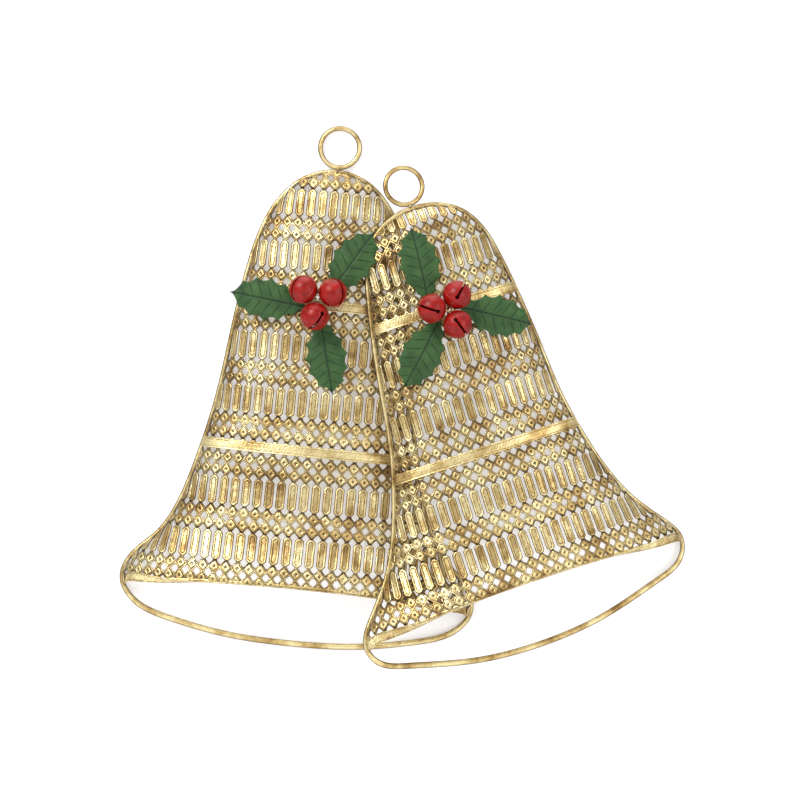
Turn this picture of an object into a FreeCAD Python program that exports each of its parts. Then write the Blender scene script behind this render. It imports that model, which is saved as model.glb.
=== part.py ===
import FreeCAD, Part
import math
import os
from FreeCAD import Vector

# A pair of overlapping half-relief bells for a wall, in antique gold sheet and wire.
# Each bell is one outline wire with a pierced sheet in three panels bulging to the front,
# two flat bands over the panel seams, a lip strip along the front rim of the mouth and a
# hanging ring. A sprig of three holly leaves and three jingle bells is wired to each bell.
#
# Millimetres. +Z is up, +X is to the right and -Y is to the front. The origin is the centre
# of the left bell's hanging ring, and the wall is the plane y = 1.3 behind it.
# Each bell is drawn in its own frame, with its origin at the top of its outline wire:
# x across, y to the wall, z up. A drop is a distance down from that origin.

# ---- driving dimensions ----
WIRE_R = 1.45           # outline wire
RING_WIRE_R = 1.5       # hanging ring wire
WELD_R = 0.95           # bead in the notch between ring and outline
SHEET_T = 0.6           # pierced sheet
SHEET_INSET = 1.35      # from the wire's centre line in to the sheet's edge
DEPTH_RATIO = 0.30      # how far the sheet bulges, as a share of its half width
SEAM_GAP = 0.3          # between neighbouring panels, under a band
BAND_WIDTH = 6.3
BAND_T = 0.8
BAND_END_DEG = 84.0     # where a band stops on its way round to the outline
LIP_WIDTH = 6.3
LIP_T = 1.0
LIP_END_DEG = 84.0
LIP_FACE_ON_DEG = 73.0  # from here to its ends the strip is face on
LIP_GAP = 0.4
RIM_RISE = 11.4         # how much higher the rim is in the middle than at its ends

# Jingle bell, pellet and tie wire
JINGLE_R = 8.8
JINGLE_T = 0.6
JINGLE_SEAM = 0.35      # how far the rolled seam stands out
SLIT_W = 1.3
SLIT_EYE_R = 1.3
SLIT_EYE_DEG = 68.0     # angle from the lower pole to the round end of the slit
LOOP_MEAN_R = 2.0
LOOP_WIRE_R = 0.5
LOOP_OUT = 10.0         # from the jingle bell's centre to its loop's centre
LOOP_TILT = 42.0        # how far the loop points back to the wall from the sprig's plane
PELLET_R = 2.3
PELLET_GAP = 0.4
TRIO_R = 10.5           # from the sprig's centre to each jingle bell's centre
TRIO_OUT = 13.0         # from the first leaf's back to the jingle bells' centres
TIE_WIRE_R = 0.4
TIE_LEG_R = 0.33
TIE_LEG_PAST = 3.0      # how far the tie wire's legs stand out behind the sheet
TIE_HOLE_R = 0.8
STUD_R = 1.0            # studs that join the right bell's frame to the left bell

# Holly leaf, lying flat: spines as (distance from the root, half width)
LEAF_LENGTH = 51.0
LEAF_T = 0.6
LEAF_STEM = 1.3
LEAF_SPINES = [(9.0, 6.4), (17.5, 11.6), (26.5, 13.6), (35.5, 12.4), (43.5, 8.6)]
LEAF_HOLLOW = 1.3       # how far the edge curves in between two spines
LEAF_LAYER = 1.0        # step from one leaf to the next where they cross
LEAF_CLEAR = 3.2        # from the sheet to the first leaf

# The two bells. outline is half of the frame wire's centre line as (half width, drop), from
# the top over the shoulder, the waist and the flare to the corner of the mouth, then along
# the lower arc to its middle. top is where its first point lies; lean, yaw and pitch turn
# the bell; skew tilts its level lines; bands and rim are drops, the rim's at its two ends.
# sprig is where the jingle bells meet, with each jingle bell's angle round it; leaves are
# (root x, root drop, angle, layer).
BELLS = {
    "left": {
        "outline": [
            (0.0, 0.0),
            (22.7, 7.5),
            (40.7, 31.1),
            (49.5, 60.7),
            (56.5, 106.2),
            (62.8, 153.3),
            (70.2, 186.4),
            (81.4, 221.5),
            (91.7, 238.5),
            (103.7, 250.4),
            (111.0, 268.1),
            (103.7, 280.5),
            (79.3, 291.0),
            (40.0, 298.1),
            (0.0, 299.9),
        ],
        "top": Vector(-1.51, 0, -15.4),
        "lean": 5.6,
        "yaw": 0.0,
        "pitch": 0.0,
        "skew": 0.0,
        "ring_mean_r": 12.4,
        "ring_x": 0.0,
        "bands": (85.9, 177.6),
        "rim": 272.3,
        "sprig": (-3.4, 83.1),
        "jingles": ((150.0, 80.0), (29.0, 100.0), (268.0, 35.0)),
        "leaves": ((1.6, 81.0, 59.6, 2), (-8.3, 88.2, 174.0, 1), (-1.6, 91.4, 284.6, 0)),
    },
    "right": {
        "outline": [
            (0.0, 0.0),
            (15.2, 2.4),
            (29.0, 10.3),
            (38.8, 25.2),
            (43.4, 41.4),
            (48.6, 71.2),
            (52.8, 104.6),
            (56.7, 138.3),
            (63.3, 167.5),
            (82.6, 215.3),
            (97.2, 234.4),
            (106.0, 251.0),
            (101.5, 262.0),
            (85.2, 269.8),
            (40.0, 281.0),
            (0.0, 284.0),
        ],
        "top": Vector(46.95, -8.9, -38.79),
        "lean": -16.15,
        "yaw": 10.0,
        "pitch": -2.2,
        "skew": 0.033,
        "ring_mean_r": 11.75,
        "ring_x": -2.6,
        "bands": (66.8, 159.2),
        "rim": 253.5,
        "sprig": (-3.9, 70.2),
        "jingles": ((161.0, 20.0), (44.0, 0.0), (285.0, -10.0)),
        "leaves": ((-12.6, 64.2, 86.5, 2), (2.9, 68.3, -27.6, 1), (-6.7, 71.8, 226.4, 0)),
    },
}

os.makedirs("parts", exist_ok=True)
SOLIDS = {}


# ---- general shapes ----
def spline_curve(points):
    """The smooth closed curve through the points."""
    curve = Part.BSplineCurve()
    curve.interpolate(Points=points, PeriodicFlag=True)
    return curve


def sewn_solid(faces):
    shell = Part.makeShell(faces)
    shell.sewShape()
    solid = Part.makeSolid(shell)
    if solid.Volume < 0:
        solid.reverse()
    return solid


def sheet_solid(outer, inner, rows, columns):
    """The solid between two surfaces, each a function of (s, t) with both from 0 to 1."""
    grids = []
    for surface in (outer, inner):
        grid = []
        for i in range(rows + 1):
            grid.append([surface(i / rows, j / columns) for j in range(columns + 1)])
        grids.append(grid)
    faces = []
    for grid in grids:
        surface = Part.BSplineSurface()
        surface.interpolate(grid)
        faces.append(surface.toShape())
    patches = [face.Surface for face in faces]
    for direction, end in (("u", 0), ("u", 1), ("v", 0), ("v", 1)):
        edges = []
        for patch in patches:
            u0, u1, v0, v1 = patch.bounds()
            if direction == "u":
                curve = patch.uIso((u0, u1)[end])
            else:
                curve = patch.vIso((v0, v1)[end])
            edges.append(curve.toShape())
        faces.append(Part.makeRuledSurface(edges[0], edges[1]))
    return sewn_solid(faces)


class Bell:
    """One bell: where it is, and points on its surfaces."""

    def __init__(self, name, spec):
        self.name = name
        self.spec = spec
        lean = FreeCAD.Rotation(Vector(0, 1, 0), spec["lean"])
        pitch = FreeCAD.Rotation(Vector(1, 0, 0), spec["pitch"])
        yaw = FreeCAD.Rotation(Vector(0, 0, 1), spec["yaw"])
        self.placement = FreeCAD.Placement(spec["top"], lean * pitch * yaw)
        half = [Vector(x, 0, -drop) for x, drop in spec["outline"]]
        mirrored = [Vector(-p.x, 0, p.z) for p in reversed(half[1:-1])]
        self.points = half + mirrored
        self.outline = spline_curve(self.points)
        self.mouth_parameter = self.outline.parameter(half[-1])

    def skewed(self, x, y, drop):
        return Vector(x, y, -drop + self.spec["skew"] * x)

    def half_width(self, drop, inset):
        """Half width at a drop of the line that lies inset inside the wire's centre line."""
        low = 0.0
        high = self.mouth_parameter
        for _ in range(40):
            middle = (low + high) / 2
            point = self.outline.value(middle)
            along = self.outline.tangent(middle)[0]
            point = point + Vector(along.z, 0, -along.x) * inset
            if -point.z < drop:
                low = middle
            else:
                high = middle
        return max(point.x, 0.0)

    def surface(self, drop, degrees, wider=0.0, front=WIRE_R, deeper=0.0):
        """A point round the half-elliptic cross-section, 0 at the front, 90 at the right."""
        width = self.half_width(drop, SHEET_INSET)
        turn = math.radians(degrees)
        x = (width + wider) * math.sin(turn)
        y = -front - (DEPTH_RATIO * width + deeper) * math.cos(turn)
        return self.skewed(x, y, drop)

    def rim(self, degrees):
        """Drop of the lower panel's front edge."""
        return self.spec["rim"] - RIM_RISE * math.cos(math.radians(degrees))

    def solid(self, piece):
        return SOLIDS[self.name + "_" + piece]

    def keep(self, piece, shape):
        """Puts a shape drawn in the bell's frame where it belongs."""
        placed = shape.copy()
        placed.Placement = self.placement.multiply(placed.Placement)
        SOLIDS[self.name + "_" + piece] = placed

    def trim(self, piece, tool):
        SOLIDS[self.name + "_" + piece] = self.solid(piece).cut(tool)

    # -- frame wire, panels, bands, lip --
    def outline_frame(self):
        curve = spline_curve([self.skewed(p.x, 0, -p.z) for p in self.points])
        circle = Part.Wire(Part.makeCircle(WIRE_R, curve.value(0), curve.tangent(0)[0]))
        wire = Part.Wire(curve.toShape()).makePipeShell([circle], True, False)
        if wire.Volume < 0:
            wire.reverse()
        self.keep("outline_frame", wire)

    def panel(self, piece, top, bottom, dense_top=False):
        """A sheet panel from one drop to another; bottom is a function of the angle."""

        def skin(thinner):
            def point(s, t):
                degrees = -90 + 180 * t
                share = s * s if dense_top else s
                drop = top + (bottom(degrees) - top) * share
                return self.surface(drop, degrees, wider=-thinner, deeper=-thinner)

            return point

        rows = 14 if dense_top else 8
        self.keep(piece, sheet_solid(skin(0.0), skin(SHEET_T), rows, 16))

    def panels(self):
        upper, lower = self.spec["bands"]
        half_gap = SEAM_GAP / 2
        self.panel("dome_panel", 2.1, lambda degrees: upper - half_gap, dense_top=True)
        self.panel("middle_panel", upper + half_gap, lambda degrees: lower - half_gap)
        self.panel("lower_panel", lower + half_gap, self.rim)

    def band(self, piece, drop):
        def skin(thinner):
            def point(s, t):
                degrees = BAND_END_DEG * (2 * t - 1)
                level = drop + BAND_WIDTH * (s - 0.5)
                return self.surface(
                    level, degrees, wider=2.2 - thinner, front=WIRE_R + 1.4, deeper=-0.2 - thinner
                )

            return point

        self.keep(piece, sheet_solid(skin(0.0), skin(BAND_T), 2, 16))

    def lip_strip(self):
        """A flat strip along the rim, face on at the mouth's corners, edge on in the middle."""

        def skin(thinner):
            def point(s, t):
                degrees = LIP_END_DEG * (2 * t - 1)
                start = self.surface(self.rim(degrees), degrees)
                reach = math.cos(math.radians(degrees)) - math.cos(math.radians(LIP_FACE_ON_DEG))
                twist = math.radians(min(82.0, max(0.0, 150.0 * reach)))
                across = Vector(0, math.sin(twist), -math.cos(twist))
                outward = Vector(0, -math.cos(twist), -math.sin(twist))
                lap = LIP_WIDTH * math.cos(twist)
                away = LIP_GAP + LIP_T - thinner
                return start + across * (LIP_GAP + LIP_WIDTH * s - lap) + outward * away

            return point

        self.keep("lip_strip", sheet_solid(skin(0.0), skin(LIP_T), 2, 24))

    # -- hanging ring and its weld --
    def hanging_ring(self):
        mean_r = self.spec["ring_mean_r"]
        centre = Vector(self.spec["ring_x"], 0, mean_r + RING_WIRE_R + WIRE_R + 0.05)
        self.keep("hanging_ring", Part.makeTorus(mean_r, RING_WIRE_R, centre, Vector(0, 1, 0)))
        weld = Part.makeSphere(WELD_R)
        level = WIRE_R + 0.025
        out = math.sqrt((WIRE_R + WELD_R + 0.04) ** 2 - level**2)
        weld.Placement.Base = Vector(self.spec["ring_x"], -out, level)
        self.keep("ring_weld", weld)

    # -- holly sprig --
    def sprig_depth(self):
        """Depth of the first leaf's back, in front of the sheet at the sprig."""
        drop = self.spec["sprig"][1]
        return WIRE_R + DEPTH_RATIO * self.half_width(drop, SHEET_INSET) + LEAF_CLEAR

    def leaf(self, number, root_x, root_drop, degrees, layer):
        depth = self.sprig_depth() + layer * LEAF_LAYER
        blade = leaf_blade()
        turn = FreeCAD.Rotation(Vector(0, 1, 0), -degrees)
        blade.Placement = FreeCAD.Placement(Vector(root_x, -depth, -root_drop), turn)
        self.keep("holly_leaf_%d" % number, blade)

    def jingle(self, number, degrees, roll):
        """A jingle bell, its loop and its pellet; returns the centre of the loop."""
        x, drop = self.spec["sprig"]
        turn = math.radians(degrees)
        outward = Vector(math.cos(turn), 0, math.sin(turn))
        depth = self.sprig_depth() + TRIO_OUT
        centre = Vector(x, -depth, -drop) + outward * TRIO_R
        tilt = math.radians(LOOP_TILT)
        to_loop = outward * -math.cos(tilt) + Vector(0, math.sin(tilt), 0)
        side = outward.cross(Vector(0, 1, 0))
        frame = FreeCAD.Placement(centre, FreeCAD.Rotation(side, Vector(), to_loop, "ZXY"))
        shell = jingle_shell()
        rolled_on = FreeCAD.Placement(Vector(), FreeCAD.Rotation(Vector(0, 0, 1), roll))
        shell.Placement = frame.multiply(rolled_on)
        self.keep("jingle_bell_%d" % number, shell)
        loop = jingle_loop()
        loop.Placement = frame
        self.keep("jingle_loop_%d" % number, loop)
        down = self.placement.Rotation.inverted().multVec(Vector(0, 0, -1))
        rolled = JINGLE_R - JINGLE_T - PELLET_R - PELLET_GAP
        pellet = Part.makeSphere(PELLET_R)
        pellet.Placement.Base = centre + down * rolled
        self.keep("pellet_%d" % number, pellet)
        return centre + to_loop * LOOP_OUT

    def tie_wire(self, loop_centre):
        """A ring of thin wire through the three loops, with two legs back through the sheet."""
        x, drop = self.spec["sprig"]
        centre = Vector(x, loop_centre.y, -drop)
        radius = (loop_centre - centre).Length
        wires = []
        drills = []
        back = TIE_LEG_PAST + LEAF_CLEAR - self.sprig_depth()
        first, second, third = (degrees for degrees, roll in self.spec["jingles"])
        for degrees in ((first + second) / 2, (first + third) / 2):
            turn = math.radians(degrees)
            foot = centre + Vector(math.cos(turn), 0, math.sin(turn)) * radius
            length = back - centre.y
            wires.append(Part.makeCylinder(TIE_LEG_R, length, foot, Vector(0, 1, 0)))
            drills.append(Part.makeCylinder(TIE_HOLE_R, length, foot, Vector(0, 1, 0)))
        ring = Part.makeTorus(radius, TIE_WIRE_R, centre, Vector(0, 1, 0))
        self.keep("sprig_tie_wire", ring.fuse(wires))
        for drill in drills:
            drill.Placement = self.placement.multiply(drill.Placement)
        leaves = ["holly_leaf_1", "holly_leaf_2", "holly_leaf_3"]
        for piece in leaves + ["upper_band", "dome_panel", "middle_panel"]:
            for drill in drills:
                self.trim(piece, drill)

    def sprig(self):
        for number, leaf in enumerate(self.spec["leaves"], 1):
            self.leaf(number, *leaf)
        for number, (degrees, roll) in enumerate(self.spec["jingles"], 1):
            loop_centre = self.jingle(number, degrees, roll)
        self.tie_wire(loop_centre)


def leaf_blade():
    """A flat holly leaf along +X, its back at y = 0 and its front at -LEAF_T."""
    side = [(0.0, LEAF_STEM)] + LEAF_SPINES + [(LEAF_LENGTH, 0.0)]
    edges = []
    for sign in (1, -1):
        for (x0, w0), (x1, w1) in zip(side, side[1:]):
            start = Vector(x0, 0, sign * w0)
            end = Vector(x1, 0, sign * w1)
            chord = end - start
            inward = Vector(chord.z, 0, -chord.x) * sign
            inward.normalize()
            middle = (start + end) / 2 + inward * LEAF_HOLLOW
            edges.append(Part.Arc(start, middle, end).toShape())
    edges.append(Part.makeLine(Vector(0, 0, LEAF_STEM), Vector(0, 0, -LEAF_STEM)))
    wire = Part.Wire(Part.__sortEdges__(edges))
    return Part.Face(wire).extrude(Vector(0, -LEAF_T, 0))


def jingle_shell():
    """A hollow ball on the origin, its crown at +Z, with a slit below that has two round ends."""
    ball = Part.makeSphere(JINGLE_R)
    seam = Part.makeTorus(JINGLE_R - 0.2, JINGLE_SEAM + 0.2)
    ball = ball.fuse(seam)
    hollow = Part.makeSphere(JINGLE_R - JINGLE_T)
    shell = ball.cut(hollow)
    tilt = math.radians(SLIT_EYE_DEG)
    reach = JINGLE_R * math.sin(tilt)
    level = -JINGLE_R * math.cos(tilt)
    corner = Vector(-SLIT_W / 2, -reach, level - 2 * JINGLE_R)
    shell = shell.cut(Part.makeBox(SLIT_W, 2 * reach, 2 * JINGLE_R, corner))
    for sign in (1, -1):
        aim = Vector(0, sign * math.sin(tilt), -math.cos(tilt))
        eye = Part.makeCylinder(SLIT_EYE_R, JINGLE_R, aim * (JINGLE_R * 0.5), aim)
        shell = shell.cut(eye)
    return shell


def jingle_loop():
    """The wire loop on the crown, with its feet ending on the shell."""
    loop = Part.makeTorus(LOOP_MEAN_R, LOOP_WIRE_R, Vector(0, 0, LOOP_OUT), Vector(1, 0, 0))
    return loop.cut(Part.makeSphere(JINGLE_R + 0.02))


def joining_studs(left, right):
    """Three studs from the left bell's front to the right bell's frame where they cross."""
    studs = []
    upper, lower = left.spec["bands"]
    for drop in (upper, lower, left.rim(30) - STUD_R):
        low = right.mouth_parameter
        high = right.outline.LastParameter
        for _ in range(40):
            middle = (low + high) / 2
            point = right.outline.value(middle)
            crossing = right.placement.multVec(right.skewed(point.x, 0, -point.z))
            seen = left.placement.inverse().multVec(crossing)
            if -seen.z > drop:
                low = middle
            else:
                high = middle
        width = left.half_width(drop, SHEET_INSET)
        degrees = math.degrees(math.asin(seen.x / width))
        foot = left.placement.multVec(left.surface(drop, degrees))
        foot = Vector(crossing.x, foot.y, crossing.z)
        studs.append(Part.makeCylinder(STUD_R, foot.y - crossing.y, foot, Vector(0, -1, 0)))
    tools = [right.solid("outline_frame"), left.solid("upper_band"), left.solid("lower_band")]
    tools.append(left.solid("lower_panel"))
    trimmed = []
    for stud in studs:
        rest = stud.cut(tools)
        trimmed.append(max(rest.Solids, key=lambda solid: solid.Volume))
    return Part.makeCompound(trimmed)


def build_bell(name, spec):
    bell = Bell(name, spec)
    bell.outline_frame()
    bell.panels()
    upper, lower = spec["bands"]
    bell.band("upper_band", upper)
    bell.band("lower_band", lower)
    bell.lip_strip()
    bell.hanging_ring()
    bell.sprig()
    return bell


BUILT = {name: build_bell(name, spec) for name, spec in BELLS.items()}
SOLIDS["bell_joining_studs"] = joining_studs(BUILT["left"], BUILT["right"])

for node, solid in SOLIDS.items():
    solid.exportStep("parts/%s.step" % node)
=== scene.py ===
import math
import random

import bmesh
import bpy
import numpy as np
from mathutils import Matrix, Vector


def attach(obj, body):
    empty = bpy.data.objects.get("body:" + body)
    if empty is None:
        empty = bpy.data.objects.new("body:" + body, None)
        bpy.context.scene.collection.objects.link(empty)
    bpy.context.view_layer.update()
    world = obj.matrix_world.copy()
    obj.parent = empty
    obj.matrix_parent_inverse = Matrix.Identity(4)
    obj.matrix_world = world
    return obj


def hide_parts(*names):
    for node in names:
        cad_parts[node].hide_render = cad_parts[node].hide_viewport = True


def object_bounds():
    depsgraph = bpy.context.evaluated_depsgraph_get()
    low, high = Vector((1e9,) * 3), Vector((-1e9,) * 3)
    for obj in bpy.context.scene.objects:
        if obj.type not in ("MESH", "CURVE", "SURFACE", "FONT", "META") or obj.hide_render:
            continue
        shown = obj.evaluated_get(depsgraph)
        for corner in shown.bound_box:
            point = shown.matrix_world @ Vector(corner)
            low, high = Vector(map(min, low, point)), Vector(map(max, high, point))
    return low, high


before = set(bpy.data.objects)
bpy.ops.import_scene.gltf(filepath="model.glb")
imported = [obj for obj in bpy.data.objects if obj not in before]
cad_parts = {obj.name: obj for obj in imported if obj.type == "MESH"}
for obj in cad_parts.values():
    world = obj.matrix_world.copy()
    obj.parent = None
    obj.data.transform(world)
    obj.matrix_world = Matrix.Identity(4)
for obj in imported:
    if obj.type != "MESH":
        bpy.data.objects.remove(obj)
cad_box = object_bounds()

# Lengths in this file are millimetres until a piece's mesh is made, except in the stage.
MM = 0.001
SIDES = ("left", "right")

# ---- the two bells, as in the CAD source ----
WIRE_R = 1.45
SHEET_INSET = 0.45      # the sheet here laps over the wire; the CAD sheet stops beside it
CAD_SHEET_INSET = 0.9   # the edge of the CAD's sheet is this much further in
DEPTH_RATIO = 0.30
RIM_RISE = 11.4
RIM_MARGIN = 2.0        # the outline is followed this far past the rim
ABOVE_DOME_SLOPE = 3.0  # how fast reach() falls above the dome's top
TINY_WIDTH = 0.01
LEAST_WIDTH = 0.5
LEAF_CLEAR = 2.93
LEAF_LAYER = 1.0
LEAF_LENGTH = 51.0
LEAF_HOLLOW = 2.1
LEAF_STALK_HALF = 1.3
LEAF_SPINES = [(9.0, 6.4), (17.5, 11.6), (26.5, 13.6), (35.5, 12.4), (43.5, 8.6)]
BELLS = {
    "left": {
        "outline": [
            (0.0, 0.0),
            (22.7, 7.5),
            (40.7, 31.1),
            (49.5, 60.7),
            (56.5, 106.2),
            (62.8, 153.3),
            (70.2, 186.4),
            (81.4, 221.5),
            (91.7, 238.5),
            (103.7, 250.4),
            (111.0, 268.1),
            (103.7, 280.5),
            (79.3, 291.0),
            (40.0, 298.1),
            (0.0, 299.9),
        ],
        "top": (-1.51, 0.0, -15.4),
        "lean": 5.6,
        "yaw": 0.0,
        "pitch": 0.0,
        "skew": 0.0,
        "bands": (85.9, 177.6),
        "rim": 272.3,
        "sprig": (-3.4, 83.1),
        "leaves": ((1.6, 81.0, 59.6, 2), (-8.3, 88.2, 174.0, 1), (-1.6, 91.4, 284.6, 0)),
        # per panel: column pitch, column phase, middle of one tablet row, row period
        "pattern": ((7.05, 0.0, 56.1, 34.0), (7.05, 0.0, 113.9, 34.3), (7.3, 0.0, 206.3, 33.8)),
    },
    "right": {
        "outline": [
            (0.0, 0.0),
            (15.2, 2.4),
            (29.0, 10.3),
            (38.8, 25.2),
            (43.4, 41.4),
            (48.6, 71.2),
            (52.8, 104.6),
            (56.7, 138.3),
            (63.3, 167.5),
            (82.6, 215.3),
            (97.2, 234.4),
            (106.0, 251.0),
            (101.5, 262.0),
            (85.2, 269.8),
            (40.0, 281.0),
            (0.0, 284.0),
        ],
        "top": (46.95, -8.9, -38.79),
        "lean": -16.15,
        "yaw": 10.0,
        "pitch": -2.2,
        "skew": 0.033,
        "bands": (66.8, 159.2),
        "rim": 253.5,
        "sprig": (-3.9, 70.2),
        "leaves": ((-12.6, 64.2, 86.5, 2), (2.9, 68.3, -27.6, 1), (-6.7, 71.8, 226.4, 0)),
        "pattern": ((7.0, 0.25, 37.1, 33.8), (7.0, 0.25, 96.1, 34.1), (7.1, 0.35, 188.0, 32.4)),
    },
}


def closed_spline(points, per_span=40):
    """Dense points on the smooth closed cubic through the points, one list per span."""
    p = np.array(points, float)
    n = len(p)
    step = np.linalg.norm(np.roll(p, -1, 0) - p, axis=1)
    matrix = np.zeros((n, n))
    slope = (np.roll(p, -1, 0) - p) / step[:, None]
    for i in range(n):
        before = step[i - 1]
        after = step[i]
        matrix[i, i - 1] += before
        matrix[i, i] += 2 * (before + after)
        matrix[i, (i + 1) % n] += after
    curvature = np.linalg.solve(matrix, 6 * (slope - np.roll(slope, 1, 0)))
    t = np.linspace(0, 1, per_span, endpoint=False)[:, None]
    spans = []
    for i in range(n):
        j = (i + 1) % n
        h = step[i]
        cubic = ((1 - t) ** 3 - (1 - t)) * curvature[i] + (t**3 - t) * curvature[j]
        spans.append((1 - t) * p[i] + t * p[j] + h * h / 6 * cubic)
    return spans


def inward_of(line):
    """Unit vectors square to a line of (x, drop) points, to its inside."""
    along = np.gradient(line, axis=0)
    along /= np.linalg.norm(along, axis=1)[:, None]
    return np.stack([-along[:, 1], along[:, 0]], -1)


# Arc length round the front of the half-elliptic section, for a half width of 1
TURNS = np.linspace(0, math.pi / 2, 721)
ARC_STEPS = np.hypot(np.diff(np.sin(TURNS)), DEPTH_RATIO * np.diff(np.cos(TURNS)))
ARC = np.concatenate([[0], np.cumsum(ARC_STEPS)])


class Bell:
    """Points on one bell's surfaces, from (s, drop): s runs round the section from its front."""

    def __init__(self, spec):
        self.spec = spec
        half = spec["outline"]
        loop = half + [(-x, drop) for x, drop in reversed(half[1:-1])]
        spans = closed_spline(loop)
        self.loop = np.concatenate(spans)
        line = np.concatenate(spans[: len(half) - 1])
        edge = line + inward_of(line) * SHEET_INSET
        edge = edge[edge[:, 0] > 0]
        falling = np.maximum.accumulate(edge[:, 1]) <= edge[:, 1]
        edge = edge[falling]
        self.edge = edge[edge[:, 1] < spec["rim"] + RIM_MARGIN]
        lean = Matrix.Rotation(math.radians(spec["lean"]), 4, "Y")
        pitch = Matrix.Rotation(math.radians(spec["pitch"]), 4, "X")
        yaw = Matrix.Rotation(math.radians(spec["yaw"]), 4, "Z")
        self.matrix = Matrix.Translation(spec["top"]) @ lean @ pitch @ yaw

    def width(self, drop):
        """Half width of the sheet, seen from the front."""
        return np.interp(drop, self.edge[:, 1], self.edge[:, 0], left=TINY_WIDTH)

    def reach(self, drop):
        """Arc length from the front to the outline, negative above the dome."""
        drop = np.asarray(drop, float)
        top = self.edge[0, 1]
        return np.where(drop < top, (drop - top) * ABOVE_DOME_SLOPE, self.width(drop) * ARC[-1])

    def rim(self, s, drop):
        """The drop of the rim at s: it rises to the front of the mouth."""
        turn = np.interp(np.abs(s) / self.width(drop), ARC, TURNS)
        return self.spec["rim"] - RIM_RISE * np.cos(turn)

    def local(self, s, drop, height):
        """Points at a height over the sheet's front, in the bell's own frame."""
        s = np.asarray(s, float)
        drop = np.asarray(drop, float)
        width = np.maximum(self.width(drop), LEAST_WIDTH)
        turn = np.interp(np.abs(s) / width, ARC, TURNS) * np.sign(s)
        depth = DEPTH_RATIO * width
        normal = np.stack([depth * np.sin(turn), width * np.cos(turn)], -1)
        normal /= np.linalg.norm(normal, axis=-1)[..., None]
        x = width * np.sin(turn) + normal[..., 0] * height
        y = -WIRE_R - depth * np.cos(turn) - normal[..., 1] * height
        return np.stack([x, y, -drop + self.spec["skew"] * x], -1)

    def world(self, points):
        """Points in metres in the CAD's frame, from millimetres in the bell's own."""
        m = np.array(self.matrix)
        return (points @ m[:3, :3].T + m[:3, 3]) * MM


BUILT = {side: Bell(BELLS[side]) for side in SIDES}


# ---- meshes ----
def add_mesh(name, points, faces):
    mesh = bpy.data.meshes.new(name)
    mesh.from_pydata([tuple(p) for p in points], [], faces)
    mesh.validate()
    ob = bpy.data.objects.new(name, mesh)
    bpy.context.collection.objects.link(ob)
    mesh.shade_smooth()
    return ob


def add_attribute(mesh, name, values):
    layer = mesh.attributes.new(name, "FLOAT", "POINT")
    layer.data.foreach_set("value", np.asarray(values, np.float32))


def grid_faces(rows, columns, closed=False):
    """Quads over points numbered row by row; a closed grid joins up both ways."""
    faces = []
    for i in range(rows if closed else rows - 1):
        here = i * columns
        after = (i + 1) % rows * columns
        for k in range(columns if closed else columns - 1):
            beside = (k + 1) % columns
            faces.append([here + k, here + beside, after + beside, after + k])
    return faces


def thicken(ob, thickness, offset=-1):
    """Gives a surface its thickness: behind it by default, or to both sides for 0."""
    solid = ob.modifiers.new("thickness", "SOLIDIFY")
    solid.thickness = thickness * MM
    solid.offset = offset
    graph = bpy.context.evaluated_depsgraph_get()
    made = bpy.data.meshes.new_from_object(ob.evaluated_get(graph))
    old = ob.data
    ob.modifiers.clear()
    ob.data = made
    bpy.data.meshes.remove(old)


def take_place(ob, node):
    """Puts a piece on the frame body in the place of a CAD node."""
    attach(ob, "frame")
    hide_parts(node)


# ---- the pierced and embossed sheet ----
# A pattern vertex is (s, drop, height, dark): height over the web, dark is grime from 0 to 1.
CELL_B = 3.92           # half height of a diamond cell; its half width is half the pitch
ROW_A = 13.05           # from a tablet row's middle to the diamond rows above and below it
PITCH = 7.0             # the tablets' measures are for this column pitch and this row period
PERIOD = 33.94
HOLE = 0.67             # a hole's size as a share of its cell
WEB_DARK = 0.48
KEYS_PER_MM = 500       # finer differences between pattern points are ignored
TABLET_RINGS = (        # half width of the end, half width, half height, shoulder, height, dark
    (0.945, 2.72, 9.13, 7.24, 0.00, 0.95),
    (0.80, 2.46, 8.90, 7.14, 0.10, 1.00),
    (0.62, 2.20, 8.50, 6.98, 0.42, 0.30),
    (0.50, 1.95, 8.15, 6.80, 0.48, 0.00),
    (0.40, 1.66, 7.80, 6.60, 0.46, 0.05),
    (0.30, 1.42, 7.45, 6.42, 0.20, 0.85),
    (0.18, 0.80, 6.90, 6.10, 0.26, 0.30),
)
TABLET_SPINE = (0.24, 0.2)
DIAMOND_RINGS = (       # share of the cell, height, dark
    (1.00, 0.00, WEB_DARK),
    (0.87, -0.05, 1.00),
    (0.77, 0.28, 0.65),
    (0.69, 0.40, 0.00),
    (0.36, 0.38, 0.00),
    (0.28, 0.12, 0.95),
)
DIAMOND_CENTRE = (0.16, 0.45)
OPENING_RINGS = (       # share of the cell, height, dark, how far the sides bulge
    (1.00, 0.00, WEB_DARK, 1.00),
    (0.87, 0.06, 0.20, 1.03),
    (HOLE, -0.12, 1.00, 1.10),
)
SLOT_END_RINGS = (
    (1.00, 0.00, WEB_DARK, 1.00),
    (HOLE, -0.05, 0.90, 1.10),
)


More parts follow.
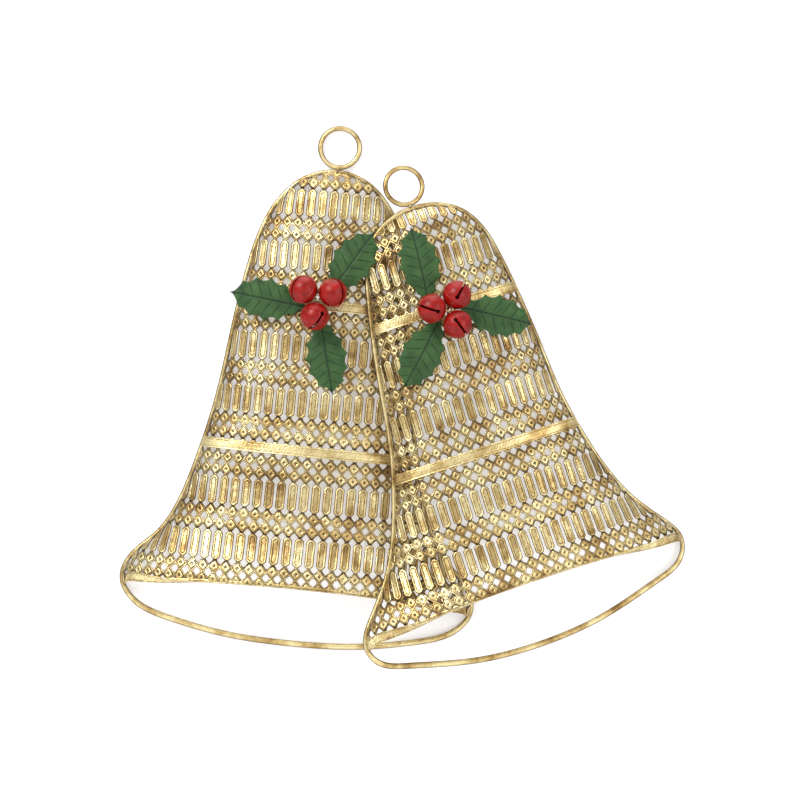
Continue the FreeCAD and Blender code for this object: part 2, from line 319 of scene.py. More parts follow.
class Pattern:
    """Collects the faces of the repeating pattern before they are cut to a panel's edge."""

    def __init__(self):
        self.points = []
        self.tones = []
        self.index = {}
        self.faces = []

    def vertex(self, point, tone):
        key = (round(point[0] * KEYS_PER_MM), round(point[1] * KEYS_PER_MM))
        if key not in self.index:
            self.index[key] = len(self.points)
            self.points.append(point)
            self.tones.append(tone)
        return self.index[key]

    def face(self, points, tone):
        corners = []
        for point in points:
            i = self.vertex(point, tone)
            if i not in corners:
                corners.append(i)
        if len(corners) > 2:
            self.faces.append(corners)

    def rings(self, rings, centre, tone):
        """Quads between rings of equally many points, and a fan to the centre if there is one."""
        for outer, inner in zip(rings, rings[1:]):
            n = len(outer)
            for i in range(n):
                j = (i + 1) % n
                self.face((outer[i], outer[j], inner[j], inner[i]), tone)
        if centre is not None:
            last = rings[-1]
            for i in range(len(last)):
                self.face((last[i], last[(i + 1) % len(last)], centre), tone)


def diamond_ring(s, drop, a, b, share, height, dark, bulge=1.0):
    """Eight points round a diamond: its corners and the middles of its sides."""
    ring = []
    corners = ((1, 0), (0, 1), (-1, 0), (0, -1))
    for (x0, y0), (x1, y1) in zip(corners, corners[1:] + corners[:1]):
        ring.append((s + x0 * a * share, drop + y0 * b * share, height, dark))
        x = (x0 + x1) / 2 * share * bulge
        y = (y0 + y1) / 2 * share * bulge
        ring.append((s + x * a, drop + y * b, height, dark))
    return ring


def add_diamond(pattern, s, drop, a, b, tone):
    rings = []
    for share, height, dark in DIAMOND_RINGS:
        rings.append(diamond_ring(s, drop, a, b, share, height, dark))
    pattern.rings(rings, (s, drop, *DIAMOND_CENTRE), tone)


def add_opening(pattern, s, drop, a, b, tone):
    rings = [diamond_ring(s, drop, a, b, *ring) for ring in OPENING_RINGS]
    pattern.rings(rings, None, tone)


def add_slot_end(pattern, s, drop, a, b, up, tone):
    """The web over one end of a slot between two tablets; up is -1 above and 1 below."""
    outer, inner = (diamond_ring(s, drop, a, b, *ring) for ring in SLOT_END_RINGS)
    order = [0, 1, 2, 3, 4] if up > 0 else [4, 5, 6, 7, 0]
    for i, j in zip(order, order[1:]):
        pattern.face((outer[i], outer[j], inner[j], inner[i]), tone)


def add_tablet(pattern, s, drop, wide, tall, tone):
    rings = []
    for end, width, length, shoulder, height, dark in TABLET_RINGS:
        half = [(0.0, -length), (end, -length), (width, -shoulder), (width, -shoulder / 2)]
        half += [(width, 0.0), (width, shoulder / 2), (width, shoulder), (end, length)]
        loop = half + [(-x, -y) for x, y in half]
        rings.append([(s + x * wide, drop + y * tall, height, dark) for x, y in loop])
    pattern.rings(rings, None, tone)
    last = rings[-1]
    for i in range(len(last)):
        first = last[i]
        second = last[(i + 1) % len(last)]
        inner = [(s, corner[1], *TABLET_SPINE) for corner in (second, first)]
        pattern.face((first, second, *inner), tone)


def pattern_faces(bell, panel, low, high, chance):
    """The whole pattern over a panel's range of drops, wider than the panel."""
    pitch, phase, middle, period = bell.spec["pattern"][panel]
    wide = pitch / PITCH
    tall = period / PERIOD
    a = pitch / 2
    b = CELL_B * tall
    pattern = Pattern()
    columns = int(bell.reach(high) / pitch) + 2
    first_row = int(math.floor((low - middle) / period)) - 1
    last_row = int(math.ceil((high - middle) / period)) + 1
    for row in range(first_row, last_row + 1):
        drop = middle + row * period
        if drop + period < low or drop - period > high:
            continue
        widest = float(bell.reach(min(drop + period / 2, high))) + pitch
        for column in range(-columns, columns + 1):
            s = (column + phase) * pitch
            if abs(s) > widest:
                continue
            add_tablet(pattern, s, drop, wide, tall, chance.random())
            for up in (-1, 1):
                add_diamond(pattern, s, drop + up * ROW_A * tall, a, b, chance.random())
                end = drop + up * (ROW_A - CELL_B) * tall
                add_slot_end(pattern, s + a, end, a, b, up, chance.random())
            add_opening(pattern, s + a, drop + period / 2, a, b, chance.random())
    return pattern


CUT_STEPS = 12          # halvings that find where an edge of a face crosses the panel's edge


def clip(pattern, inside):
    """Cuts the pattern's faces along the line where inside(s, drop) is zero."""
    points = np.array(pattern.points)
    value = inside(points[:, 0], points[:, 1])
    kept = []
    cuts = {}

    def crossing(i, j):
        key = (min(i, j), max(i, j))
        if key not in cuts:
            low, high = (i, j) if value[i] > 0 else (j, i)
            p, q = points[low], points[high]
            for _ in range(CUT_STEPS):
                middle = (p + q) / 2
                if inside(middle[0], middle[1]) > 0:
                    p = middle
                else:
                    q = middle
            cuts[key] = len(pattern.points)
            pattern.points.append(tuple(p))
            pattern.tones.append(pattern.tones[i])
        return cuts[key]

    for face in pattern.faces:
        signs = [value[i] > 0 for i in face]
        if all(signs):
            kept.append(face)
        elif any(signs):
            corners = []
            for k, i in enumerate(face):
                j = face[(k + 1) % len(face)]
                if signs[k]:
                    corners.append(i)
                if signs[k] != signs[(k + 1) % len(face)]:
                    corners.append(crossing(i, j))
            if len(corners) > 2:
                kept.append(corners)
    pattern.faces = kept


BORDER = 0.8
RIM_BORDER = 1.1
BORDER_TONE = 0.5
BORDER_PROFILE = (      # share of the width, height, dark
    (0.00, 0.55, 0.50),
    (0.35, 0.34, 0.10),
    (0.80, 0.30, 0.15),
    (1.00, -0.10, 0.90),
)


def add_border(pattern, line, inward, width):
    """A raised plain margin along a line of (s, drop) points."""
    columns = len(BORDER_PROFILE)
    start = len(pattern.points)
    for (s, drop), (across, down) in zip(line, inward):
        for share, height, dark in BORDER_PROFILE:
            point = (s + across * width * share, drop + down * width * share, height, dark)
            pattern.points.append(point)
            pattern.tones.append(BORDER_TONE)
    for corners in grid_faces(len(line), columns):
        pattern.faces.append([start + i for i in corners])


EDGE_STEP = 3           # every third point of the outline is enough for a border


def side_lines(bell, low, high):
    """The outline from low to high as (s, drop), with the direction to the inside."""
    edge = bell.edge[(bell.edge[:, 1] >= low) & (bell.edge[:, 1] <= high)][::EDGE_STEP]
    line = np.stack([edge[:, 0] * ARC[-1], edge[:, 1]], -1)
    return line, inward_of(line)


SHEET_SINK = 0.35       # the web's front lies this far under the CAD panel's front
SHEET_T = 0.45
LOWER_PANEL = 2
RIM_END_GAP = 0.3
RIM_POINTS = 120


def make_panel(side, panel, piece, low, high):
    """One pierced sheet between two drops, with a plain margin along its outer edges."""
    bell = BUILT[side]
    chance = random.Random(f"{side} {piece}")
    pattern = pattern_faces(bell, panel, low, min(high, bell.spec["rim"]), chance)

    def inside(s, drop):
        bottom = bell.rim(s, drop) if panel == LOWER_PANEL else high
        return np.minimum(bell.reach(drop) - np.abs(s), np.minimum(drop - low, bottom - drop))

    clip(pattern, inside)
    line, inward = side_lines(bell, low, high)
    flip = np.array([-1, 1])
    add_border(pattern, line, inward, BORDER)
    add_border(pattern, line[::-1] * flip, inward[::-1] * flip, BORDER)
    if panel == LOWER_PANEL:
        reach = float(bell.reach(bell.spec["rim"])) - RIM_END_GAP
        across = np.linspace(reach, -reach, RIM_POINTS)
        rim = [(s, float(bell.rim(s, bell.spec["rim"]))) for s in across]
        add_border(pattern, rim, [(0.0, -1.0)] * len(rim), RIM_BORDER)
    points = np.array(pattern.points)
    placed = bell.world(bell.local(points[:, 0], points[:, 1], points[:, 2] - SHEET_SINK))
    ob = add_mesh(f"{side}_{piece}_sheet", placed, pattern.faces)
    mesh = ob.data
    add_attribute(mesh, "dark", points[:, 3])
    add_attribute(mesh, "tone", pattern.tones)
    tidy = bmesh.new()
    tidy.from_mesh(mesh)
    loose = [v for v in tidy.verts if not v.link_faces]
    bmesh.ops.delete(tidy, geom=loose, context="VERTS")
    bmesh.ops.recalc_face_normals(tidy, faces=tidy.faces)
    tidy.normal_update()
    front = sum(f.normal.y * f.calc_area() for f in tidy.faces)
    if front > 0:
        bmesh.ops.reverse_faces(tidy, faces=tidy.faces)
    tidy.to_mesh(mesh)
    tidy.free()
    thicken(ob, SHEET_T)
    take_place(ob, f"{side}_{piece}")
    return ob


# ---- the strips over the seams and along the rim ----
STRIP_TONE = 0.3
BEAD_AT = 0.86          # of the half width of a strip
BEAD_HALF = 0.09
BAND_WIDTH = 6.3
BAND_T = 0.6
BAND_END_DEG = 84.0
BAND_POINTS = (29, 900)
BAND_OUT = 2.05         # how far the band stands off the CAD's sheet at its ends
BAND_LIFT = 1.4         # the band's ends are this far in front of the wire
BAND_SINK = 0.35        # and its middle is this much nearer the sheet
BAND_RIM_AT = 0.98      # grime lies along the very edge from here
BEAD_HEIGHT = 0.16
GROOVE_AT = 0.66
GROOVE_HALF = 0.06
GROOVE_DEPTH = 0.12
FIELD_AT = 0.60         # the strokes fade out up to here
FIELD_FADE = 0.1
STROKE_PITCH = 1.9
STROKE_SLANT = 1.6
STROKE_HEIGHT = 0.06
WAVER = 0.8             # the strokes are uneven by this much of a turn, over WAVER_LENGTH
WAVER_LENGTH = 5.3
LIP_WIDTH = 6.3
LIP_T = 0.7
LIP_END_DEG = 87.5
LIP_POINTS = (15, 500)
LIP_FACE_ON_DEG = 73.0
LIP_TURN_RATE = 150.0   # degrees of twist for each unit that cos(turn) grows
LIP_MOST_TWIST_DEG = 82.0
LIP_GAP = 0.4
LIP_LEAST_GAP = 0.03
LIP_LIFT = 0.85
LIP_BEAD_HEIGHT = 0.12
ARC_WIDENING = 0.45     # added to half the wire's width along the mouth's lower arc
ARC_BLEND = 15.0        # over this drop below the mouth's corners
WIRE_SIDES = 16


def ridge(v, at, half):
    """A smooth ridge along both edges of a strip, 1 at its crest."""
    return np.exp(-(((np.abs(v) - at) / half) ** 2))


def add_strip(name, grid, dark, thickness, node):
    """A strip from rows of points, turned to face the front, with its thickness behind."""
    rows, columns = grid.shape[:2]
    ob = add_mesh(name, grid.reshape(-1, 3), grid_faces(rows, columns))
    add_attribute(ob.data, "dark", dark.reshape(-1))
    add_attribute(ob.data, "tone", np.full(rows * columns, STRIP_TONE))
    if sum(p.normal.y * p.area for p in ob.data.polygons) > 0:
        ob.data.flip_normals()
    thicken(ob, thickness)
    take_place(ob, node)
    return ob


def make_band(side, piece, drop):
    """A strip with a bead along each edge and slanting strokes pressed into its field."""
    bell = BUILT[side]
    across = np.linspace(-1, 1, BAND_POINTS[0])
    turns = np.radians(np.linspace(-BAND_END_DEG, BAND_END_DEG, BAND_POINTS[1]))
    v, turn = np.meshgrid(across, turns)
    level = drop + v * BAND_WIDTH / 2
    width = bell.width(level) - CAD_SHEET_INSET
    along = width * np.interp(np.abs(turn), TURNS, ARC) * np.sign(turn)
    bead = ridge(v, BEAD_AT, BEAD_HALF)
    groove = ridge(v, GROOVE_AT, GROOVE_HALF)
    waver = WAVER * np.sin(along / WAVER_LENGTH)
    stroke = 0.5 + 0.5 * np.sin(2 * math.pi * (along + STROKE_SLANT * v) / STROKE_PITCH + waver)
    field = np.clip((FIELD_AT - np.abs(v)) / FIELD_FADE, 0, 1)
    pressed = STROKE_HEIGHT * (stroke**2 - 0.5) * field
    rise = BEAD_HEIGHT * bead - GROOVE_DEPTH * groove + pressed
    outer_edge = np.abs(v) > BAND_RIM_AT
    dark = np.clip(0.9 * groove + 0.30 * field * (1 - stroke) ** 3 + 0.8 * outer_edge, 0, 1)
    x = (width + BAND_OUT + rise) * np.sin(turn)
    y = -WIRE_R - BAND_LIFT - (DEPTH_RATIO * width - BAND_SINK + rise) * np.cos(turn)
    grid = bell.world(np.stack([x, y, -level + bell.spec["skew"] * x], -1))
    return add_strip(f"{side}_{piece}_strip", grid, dark, BAND_T, f"{side}_{piece}")


def make_lip(side):
    """The strip along the rim: face on near the mouth's corners, edge on in the middle."""
    bell = BUILT[side]
    across = np.linspace(0, 1, LIP_POINTS[0])
    degrees = np.linspace(-LIP_END_DEG, LIP_END_DEG, LIP_POINTS[1])
    share, degree = np.meshgrid(across, degrees)
    turn = np.radians(degree)
    drop = bell.spec["rim"] - RIM_RISE * np.cos(turn)
    width = bell.width(drop) - CAD_SHEET_INSET
    reach = np.cos(turn) - math.cos(math.radians(LIP_FACE_ON_DEG))
    twist = np.radians(np.clip(LIP_TURN_RATE * reach, 0.0, LIP_MOST_TWIST_DEG))
    edge = np.abs(2 * share - 1)
    gap = LIP_GAP * np.cos(twist) + LIP_LEAST_GAP
    away = gap + LIP_LIFT + LIP_BEAD_HEIGHT * ridge(edge, BEAD_AT, BEAD_HALF)
    down = gap + LIP_WIDTH * (share - np.cos(twist))
    x = width * np.sin(turn)
    y = -WIRE_R - DEPTH_RATIO * width * np.cos(turn) + np.sin(twist) * down - np.cos(twist) * away
    z = -drop + bell.spec["skew"] * x - np.cos(twist) * down - np.sin(twist) * away
    # painted shade: 0.32 darkens the whole strip; the other two terms darken its very edge and a
    # thin line along each side
    dark = 0.32 + 0.10 * (edge > 0.95) + 0.4 * (np.abs(edge - 0.7) < 0.07)
    grid = bell.world(np.stack([x, y, z], -1))
    return add_strip(f"{side}_lip_strip_edge", grid, dark, LIP_T, f"{side}_lip_strip")


def make_outline(side):
    """The wire round the bell, flattened to a wider strip along the mouth's lower arc."""
    bell = BUILT[side]
    line = np.stack([bell.loop[:, 0], bell.spec["skew"] * bell.loop[:, 0] - bell.loop[:, 1]], -1)
    corner = -max(bell.spec["outline"])[1]
    wide = WIRE_R + ARC_WIDENING * np.clip((corner - line[:, 1]) / ARC_BLEND, 0, 1)
    along = np.roll(line, -1, 0) - np.roll(line, 1, 0)
    along /= np.linalg.norm(along, axis=1)[:, None]
    turns = np.linspace(0, 2 * math.pi, WIRE_SIDES, endpoint=False)
    across = wide[:, None] * np.cos(turns)
    x = line[:, :1] - along[:, 1:] * across
    y = np.broadcast_to(WIRE_R * np.sin(turns), x.shape)
    z = line[:, 1:] + along[:, :1] * across
    points = bell.world(np.stack([x, y, z], -1)).reshape(-1, 3)
    ob = add_mesh(f"{side}_outline_wire", points, grid_faces(*x.shape, closed=True))
    tidy = bmesh.new()
    tidy.from_mesh(ob.data)
    bmesh.ops.recalc_face_normals(tidy, faces=tidy.faces)
    tidy.to_mesh(ob.data)
    tidy.free()
    take_place(ob, f"{side}_outline_frame")
    return ob


# ---- materials ----
class Nodes:
    """A material's node tree, with short calls for the nodes used here."""

    def __init__(self, name):
        self.material = bpy.data.materials.new(name)
        self.material.use_nodes = True
        self.tree = self.material.node_tree
        self.shader = self.tree.nodes["Principled BSDF"]

    def add(self, kind, **settings):
        node = self.tree.nodes.new(kind)
        for key, value in settings.items():
            setattr(node, key, value)
        return node

    def link(self, source, target):
        self.tree.links.new(source, target)

    def position(self):
        return self.add("ShaderNodeTexCoord").outputs["Object"]

    def noise(self, scale, detail=4.0, rough=0.6):
        node = self.add("ShaderNodeTexNoise")
        node.inputs["Scale"].default_value = scale
        node.inputs["Detail"].default_value = detail
        node.inputs["Roughness"].default_value = rough
        self.link(self.position(), node.inputs["Vector"])
        return node.outputs["Fac"]

    def attribute(self, name):
        return self.add("ShaderNodeAttribute", attribute_name=name).outputs["Fac"]

    def ramp(self, source, stops):
        node = self.add("ShaderNodeValToRGB")
        ramp = node.color_ramp
        while len(ramp.elements) < len(stops):
            ramp.elements.new(0.5)
        for element, (place, colour) in zip(ramp.elements, stops):
            element.position = place
            element.color = (*colour, 1)
        self.link(source, node.inputs["Fac"])
        return node.outputs["Color"]

    def curve(self, source, low, high, to_low, to_high):
        """Maps low..high to to_low..to_high, held at both ends."""
        node = self.add("ShaderNodeMapRange")
        node.inputs["From Min"].default_value = low
        node.inputs["From Max"].default_value = high
        node.inputs["To Min"].default_value = to_low
        node.inputs["To Max"].default_value = to_high
        self.link(source, node.inputs["Value"])
        return node.outputs["Result"]

    def math(self, operation, a, b):
        node = self.add("ShaderNodeMath", operation=operation)
        for socket, value in zip(node.inputs, (a, b)):
            if isinstance(value, (int, float)):
                socket.default_value = value
            else:
                self.link(value, socket)
        return node.outputs["Value"]

    def mix(self, factor, a, b):
        """Mixes two colours; the Mix node's colour sockets are its inputs 6 and 7."""
        node = self.add("ShaderNodeMix", data_type="RGBA")
        for socket, value in ((node.inputs[0], factor), (node.inputs[6], a), (node.inputs[7], b)):
            if isinstance(value, tuple):
                socket.default_value = (*value, 1)
            elif isinstance(value, (int, float)):
                socket.default_value = value
            else:
                self.link(value, socket)
        return node.outputs[2]

    def bump(self, height, strength, distance, under=None):
        node = self.add("ShaderNodeBump")
        node.inputs["Strength"].default_value = strength
        node.inputs["Distance"].default_value = distance
        self.link(height, node.inputs["Height"])
        if under is not None:
            self.link(under, node.inputs["Normal"])
        return node.outputs["Normal"]


GOLD_BRIGHT = (0.93, 0.78, 0.41)
GOLD_MID = (0.58, 0.41, 0.16)
GOLD_BROWN = (0.26, 0.145, 0.045)
GOLD_WORN = (0.70, 0.50, 0.22)
# grime in the sheet's low places, and painted shade on the wires' sides and over the rim's strip
GRIME_AND_SHADE = (0.036, 0.019, 0.007)
LEAF_DARK = (0.016, 0.052, 0.012)
LEAF_LIGHT = (0.040, 0.104, 0.026)
# painted shade in the rib and vein creases
LEAF_GROOVE_SHADE = (0.004, 0.016, 0.005)
RED_DARK = (0.17, 0.002, 0.001)
RED_LIGHT = (0.33, 0.005, 0.002)


def gold(name, sheet):
    """Antique gold leaf: grime lies in the sheet's low places; the dark attribute also carries
    painted shade on the rim's strip, and the wires' sides are darkened with painted shade.
    """
    n = Nodes(name)
    patches = n.noise(55, detail=5, rough=0.65)
    flecks = n.noise(900, detail=3, rough=0.7)
    tone = n.ramp(patches, ((0.34, GOLD_BROWN), (0.45, GOLD_MID), (0.58, GOLD_BRIGHT)))
    worn = n.curve(flecks, 0.50, 0.72, 0.0, 0.75)
    colour = n.mix(worn, tone, GOLD_WORN)
    rough = n.curve(flecks, 0.3, 0.7, 0.24, 0.42)
    metal = n.curve(flecks, 0.4, 0.8, 1.0, 0.85)
    if sheet:
        cell = n.attribute("tone")
        colour = n.mix(n.curve(cell, 0.45, 1.0, 0.0, 0.55), colour, GOLD_MID)
        dark = n.attribute("dark")
        dark = n.math("ADD", dark, n.curve(flecks, 0.35, 0.65, -0.25, 0.2))
        colour = n.mix(n.curve(dark, 0.20, 0.75, 0.0, 0.95), colour, GRIME_AND_SHADE)
        rough = n.math("ADD", rough, n.curve(dark, 0.3, 1.0, 0.0, 0.35))
        metal = n.math("SUBTRACT", metal, n.curve(dark, 0.4, 1.0, 0.0, 0.8))
    else:
        # painted shade: the wire darkens towards its sides, where it turns away from the view
        facing = n.add("ShaderNodeLayerWeight").outputs["Facing"]
        colour = n.mix(n.curve(facing, 0.05, 0.50, 0.0, 0.92), colour, GRIME_AND_SHADE)
    n.link(colour, n.shader.inputs["Base Color"])
    n.link(rough, n.shader.inputs["Roughness"])
    n.link(metal, n.shader.inputs["Metallic"])
    grain = n.bump(flecks, 0.35, 0.0004)
    n.link(n.bump(patches, 0.5, 0.0015, under=grain), n.shader.inputs["Normal"])
    return n.material


def green_paint():
    """Matte green, with painted shade darkening the rib and vein creases."""
    n = Nodes("green leaf paint")
    mottle = n.noise(120, detail=5)
    grain = n.noise(1500, detail=2)
    colour = n.ramp(mottle, ((0.3, LEAF_DARK), (0.7, LEAF_LIGHT)))
    groove = n.attribute("dark")
    colour = n.mix(n.curve(groove, 0.1, 0.7, 0.0, 0.85), colour, LEAF_GROOVE_SHADE)
    n.link(colour, n.shader.inputs["Base Color"])
    n.link(n.curve(grain, 0.3, 0.7, 0.50, 0.66), n.shader.inputs["Roughness"])
    n.shader.inputs["Specular IOR Level"].default_value = 0.3
    n.link(n.bump(grain, 0.3, 0.0003), n.shader.inputs["Normal"])
    return n.material


def red_paint():
    """Satin red, a little mottled."""
    n = Nodes("red bell paint")
    mottle = n.noise(260, detail=5)
    grain = n.noise(1300, detail=3)
    colour = n.ramp(mottle, ((0.32, RED_DARK), (0.68, RED_LIGHT)))
    n.link(colour, n.shader.inputs["Base Color"])
    n.link(n.curve(grain, 0.3, 0.7, 0.26, 0.42), n.shader.inputs["Roughness"])
    n.shader.inputs["Specular IOR Level"].default_value = 0.3
    n.link(n.bump(grain, 0.35, 0.0003), n.shader.inputs["Normal"])
    return n.material


def bare_metal(name, light, dark):
    n = Nodes(name)
    streaks = n.noise(700, detail=4)
    n.link(n.ramp(streaks, ((0.35, dark), (0.65, light))), n.shader.inputs["Base Color"])
    n.link(n.curve(streaks, 0.3, 0.7, 0.22, 0.45), n.shader.inputs["Roughness"])
    n.shader.inputs["Metallic"].default_value = 1.0
    n.link(n.bump(streaks, 0.3, 0.0003), n.shader.inputs["Normal"])
    return n.material


GOLD_SHEET = gold("gold sheet", sheet=True)
GOLD_WIRE = gold("gold wire", sheet=False)
GREEN = green_paint()
RED = red_paint()
TIE = bare_metal("tie wire", (0.80, 0.76, 0.66), (0.45, 0.40, 0.32))
STEEL = bare_metal("pellet steel", (0.60, 0.60, 0.61), (0.30, 0.29, 0.28))


def paint(ob, material):
    if not ob.material_slots:
        ob.data.materials.append(material)
        return
    for slot in ob.material_slots:
        slot.material = material


# ---- holly leaves ----
LEAF_T = 0.45
LEAF_POINTS = (140, 37)
LEAF_TIP_GAP = 0.05
LEAF_LEAST_HALF = 0.02
LEAF_LIFT = 0.6
LEAF_ARCH = 1.1
LEAF_DROOP = 2.2
LEAF_CURL = 1.3
LEAF_LEAN = 0.4         # a leaf leans to either side by up to this at its edge
PILLOW_HEIGHT = 0.33
RIB_HALF = 0.55
RIB_DEPTH = 0.55
VEIN_DEPTH = 0.40
VEINS = 7
VEIN_START = 4.0
VEIN_PITCH = 6.2
VEIN_SLANT = 0.75
VEIN_BEND = 0.02
VEIN_HALF = 0.45


def leaf_half_width(x):
    """Half width of the blade at x, scalloped between its spines."""
    outline = [(0.0, LEAF_STALK_HALF)] + LEAF_SPINES + [(LEAF_LENGTH, 0.0)]
    for (x0, w0), (x1, w1) in zip(outline, outline[1:]):
        if x <= x1:
            share = (x - x0) / (x1 - x0)
            return w0 + (w1 - w0) * share - LEAF_HOLLOW * 4 * share * (1 - share)
    return 0.0


def vein_at(x, z, outer):
    """How deep in a side vein a point of the blade lies, from 0 to 1."""
    fade = min(1.0, outer * 4) * max(0.0, 1.0 - outer**4)
    vein = 0.0
    for number in range(1, VEINS + 1):
        start = VEIN_START + VEIN_PITCH * number
        offset = (x - start) - abs(z) * VEIN_SLANT + VEIN_BEND * z * z
        vein = max(vein, math.exp(-((offset / VEIN_HALF) ** 2)) * fade)
    return vein


def blade_height(x, z, outer):
    """The large forms of the blade: its arch, drooping tip, curled sides and pillows."""
    share = x / LEAF_LENGTH
    hump = math.sin(math.pi * share)
    pillow = math.sin(math.pi * ((x - abs(z) * VEIN_SLANT) / VEIN_PITCH)) * outer
    curl = LEAF_CURL * outer**2 * hump
    return LEAF_LIFT - curl - LEAF_DROOP * share**3 + LEAF_ARCH * hump + PILLOW_HEIGHT * pillow


def make_leaf(side, number, root_x, root_drop, degrees, layer):
    """A stamped leaf from its root, at an angle from the bell's own +x."""
    bell = BUILT[side]
    chance = random.Random(f"{side} leaf {number}")
    lean = chance.uniform(-LEAF_LEAN, LEAF_LEAN)
    rows, columns = LEAF_POINTS
    points = []
    dark = []
    for x in np.linspace(0, LEAF_LENGTH - LEAF_TIP_GAP, rows):
        width = max(leaf_half_width(x), LEAF_LEAST_HALF)
        for share in np.linspace(-1, 1, columns):
            z = width * share
            outer = abs(share)
            rib = math.exp(-((z / RIB_HALF) ** 2))
            vein = vein_at(x, z, outer)
            height = blade_height(x, z, outer) + lean * share - RIB_DEPTH * rib - VEIN_DEPTH * vein
            points.append((x, -height, z))
            # painted shade: the rib and vein creases are darkened
            dark.append(min(1.0, rib * 0.9 + vein * 0.85))
    sprig_depth = WIRE_R + DEPTH_RATIO * float(bell.width(bell.spec["sprig"][1])) + LEAF_CLEAR
    depth = sprig_depth + layer * LEAF_LAYER
    turn = Matrix.Rotation(math.radians(-degrees), 4, "Y")
    place = Matrix.Translation((root_x, -depth, -root_drop)) @ turn
    local = np.array([place @ Vector(p) for p in points])
    name = f"{side}_holly_leaf_{number}"
    ob = add_mesh(f"{name}_blade", bell.world(local), grid_faces(rows, columns))
    add_attribute(ob.data, "dark", dark)
    thicken(ob, LEAF_T, offset=0)
    take_place(ob, name)
    return ob


# ---- build ----
BELOW_RIM = 400.0       # a drop below either bell's rim
for side in SIDES:
    upper, lower = BELLS[side]["bands"]
    top = float(BUILT[side].edge[0, 1])
    paint(make_panel(side, 0, "dome_panel", top, upper), GOLD_SHEET)
    paint(make_panel(side, 1, "middle_panel", upper, lower), GOLD_SHEET)
    paint(make_panel(side, LOWER_PANEL, "lower_panel", lower, BELOW_RIM), GOLD_SHEET)
    paint(make_band(side, "upper_band", upper), GOLD_SHEET)
    paint(make_band(side, "lower_band", lower), GOLD_SHEET)
    paint(make_lip(side), GOLD_SHEET)
    paint(make_outline(side), GOLD_WIRE)
    for number, leaf in enumerate(BELLS[side]["leaves"], 1):
        paint(make_leaf(side, number, *leaf), GREEN)

# The CAD's own nodes; those replaced above aren't drawn
for node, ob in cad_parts.items():
    if "jingle" in node:
        paint(ob, RED)
    elif "pellet" in node:
        paint(ob, STEEL)
    elif "tie_wire" in node:
        paint(ob, TIE)
    elif "leaf" in node:
        paint(ob, GREEN)
    else:
        paint(ob, GOLD_WIRE)


# ---- stage, lights and camera, in metres ----
BOX_LOW, BOX_HIGH = (Vector(corner) for corner in cad_box)
VIEW_DISTANCE = 1.2
VIEW_SPAN = 0.5072
AIM = Vector((0.03799, 0.0015, -0.15968))
FLOOR_Z = BOX_LOW.z - 0.16
FLOOR_NEAR = -4.0
FLOOR_HALF = 6.0
BEND_START = 2.0
BEND_R = 1.5
BEND_STEPS = 12
FAR_WALL_TOP = 6.0
WALL_GAP = 0.001        # between the ornament's back and the wall
WALL_HALF = 2.5
WALL_TOP = 1.5
WALL_FOOT = 0.002       # the wall stops this far over the floor
WALL_GLOW = 0.24        # the photo's wall is lit more evenly than the lamps here light it


def make_floor():
    """A pale floor under the ornament that curves up into a far wall."""
    n = Nodes("pale floor")
    shade = n.ramp(n.noise(3), ((0.3, (0.86, 0.86, 0.87)), (0.7, (0.90, 0.90, 0.90))))
    n.link(shade, n.shader.inputs["Base Color"])
    n.shader.inputs["Roughness"].default_value = 0.9
    profile = [(FLOOR_NEAR, FLOOR_Z), (BEND_START, FLOOR_Z)]
    for k in range(1, BEND_STEPS + 1):
        turn = k / BEND_STEPS * math.pi / 2
        y = BEND_START + BEND_R * math.sin(turn)
        profile.append((y, FLOOR_Z + BEND_R * (1 - math.cos(turn))))
    profile.append((BEND_START + BEND_R, FLOOR_Z + FAR_WALL_TOP))
    points = []
    for x in (-FLOOR_HALF, FLOOR_HALF):
        points += [(x, y, z) for y, z in profile]
    floor = add_mesh("floor", points, grid_faces(2, len(profile)))
    floor.data.materials.append(n.material)


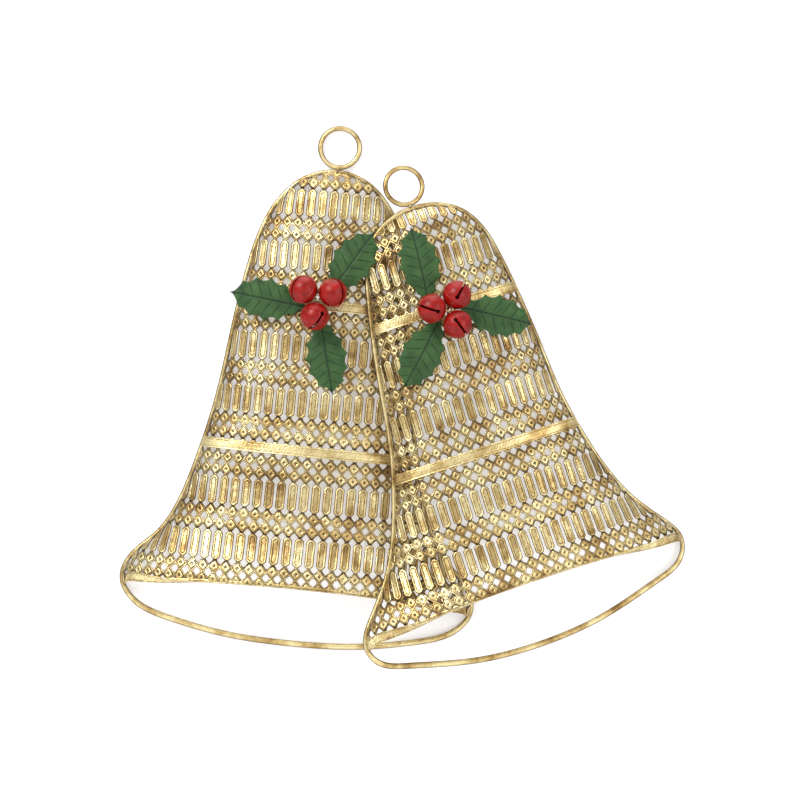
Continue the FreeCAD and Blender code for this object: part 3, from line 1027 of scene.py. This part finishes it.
def make_wall():
    """The wall the bells hang on: only views from the front see it, and it shades nothing."""
    n = Nodes("pale wall")
    shade = n.ramp(n.noise(3), ((0.3, (0.86, 0.85, 0.86)), (0.7, (0.88, 0.87, 0.88))))
    n.link(shade, n.shader.inputs["Base Color"])
    n.shader.inputs["Roughness"].default_value = 0.9
    n.shader.inputs["Specular IOR Level"].default_value = 0.0
    n.shader.inputs["Emission Color"].default_value = (1, 1, 1, 1)
    n.shader.inputs["Emission Strength"].default_value = WALL_GLOW
    behind = n.add("ShaderNodeNewGeometry").outputs["Backfacing"]
    clear = n.add("ShaderNodeBsdfTransparent").outputs["BSDF"]
    mix = n.add("ShaderNodeMixShader")
    n.link(behind, mix.inputs[0])
    n.link(n.shader.outputs["BSDF"], mix.inputs[1])
    n.link(clear, mix.inputs[2])
    n.link(mix.outputs["Shader"], n.tree.nodes["Material Output"].inputs["Surface"])
    y = BOX_HIGH.y + WALL_GAP
    low = FLOOR_Z + WALL_FOOT
    high = BOX_HIGH.z + WALL_TOP
    left = -WALL_HALF
    right = WALL_HALF
    corners = ((left, y, low), (right, y, low), (right, y, high), (left, y, high))
    wall = add_mesh("wall", corners, [(0, 1, 2, 3)])
    wall.data.materials.append(n.material)
    wall.visible_diffuse = False
    wall.visible_glossy = False
    wall.visible_transmission = False
    wall.visible_shadow = False


def add_light(name, at, aim, size, power):
    lamp = bpy.data.lights.new(name, "AREA")
    lamp.shape = "RECTANGLE"
    lamp.size, lamp.size_y = size
    lamp.energy = power
    ob = bpy.data.objects.new(name, lamp)
    ob.location = at
    ob.rotation_euler = (Vector(aim) - Vector(at)).to_track_quat("-Z", "Y").to_euler()
    bpy.context.collection.objects.link(ob)


def make_lights():
    """Soft studio lamps from the front and above, one on the far wall, and a white surround."""
    add_light("key", (-0.9, -1.3, 0.9), AIM, (0.7, 0.7), 24)
    add_light("fill", (1.3, -1.2, 0.1), AIM, (0.8, 1.2), 8)
    add_light("top", (0.1, -0.3, 1.4), AIM, (1.2, 0.6), 9)
    add_light("wall", (0.0, 0.9, 2.2), (0.0, 3.2, 0.2), (3.0, 0.8), 60)
    world = bpy.data.worlds.new("studio")
    world.use_nodes = True
    background = world.node_tree.nodes["Background"]
    background.inputs["Color"].default_value = (1, 1, 1, 1)
    background.inputs["Strength"].default_value = 0.62
    bpy.context.scene.world = world


def make_camera():
    """Level and square to the wall; VIEW_SPAN is the width it sees at the wall."""
    lens = bpy.data.cameras.new("camera")
    lens.sensor_width = 36
    lens.lens = lens.sensor_width * VIEW_DISTANCE / VIEW_SPAN
    camera = bpy.data.objects.new("camera", lens)
    camera.location = AIM - Vector((0, VIEW_DISTANCE, 0))
    camera.rotation_euler = (math.pi / 2, 0, 0)
    bpy.context.collection.objects.link(camera)
    bpy.context.scene.camera = camera


make_floor()
make_wall()
make_lights()
make_camera()
bpy.context.scene.view_settings.view_transform = "Standard"
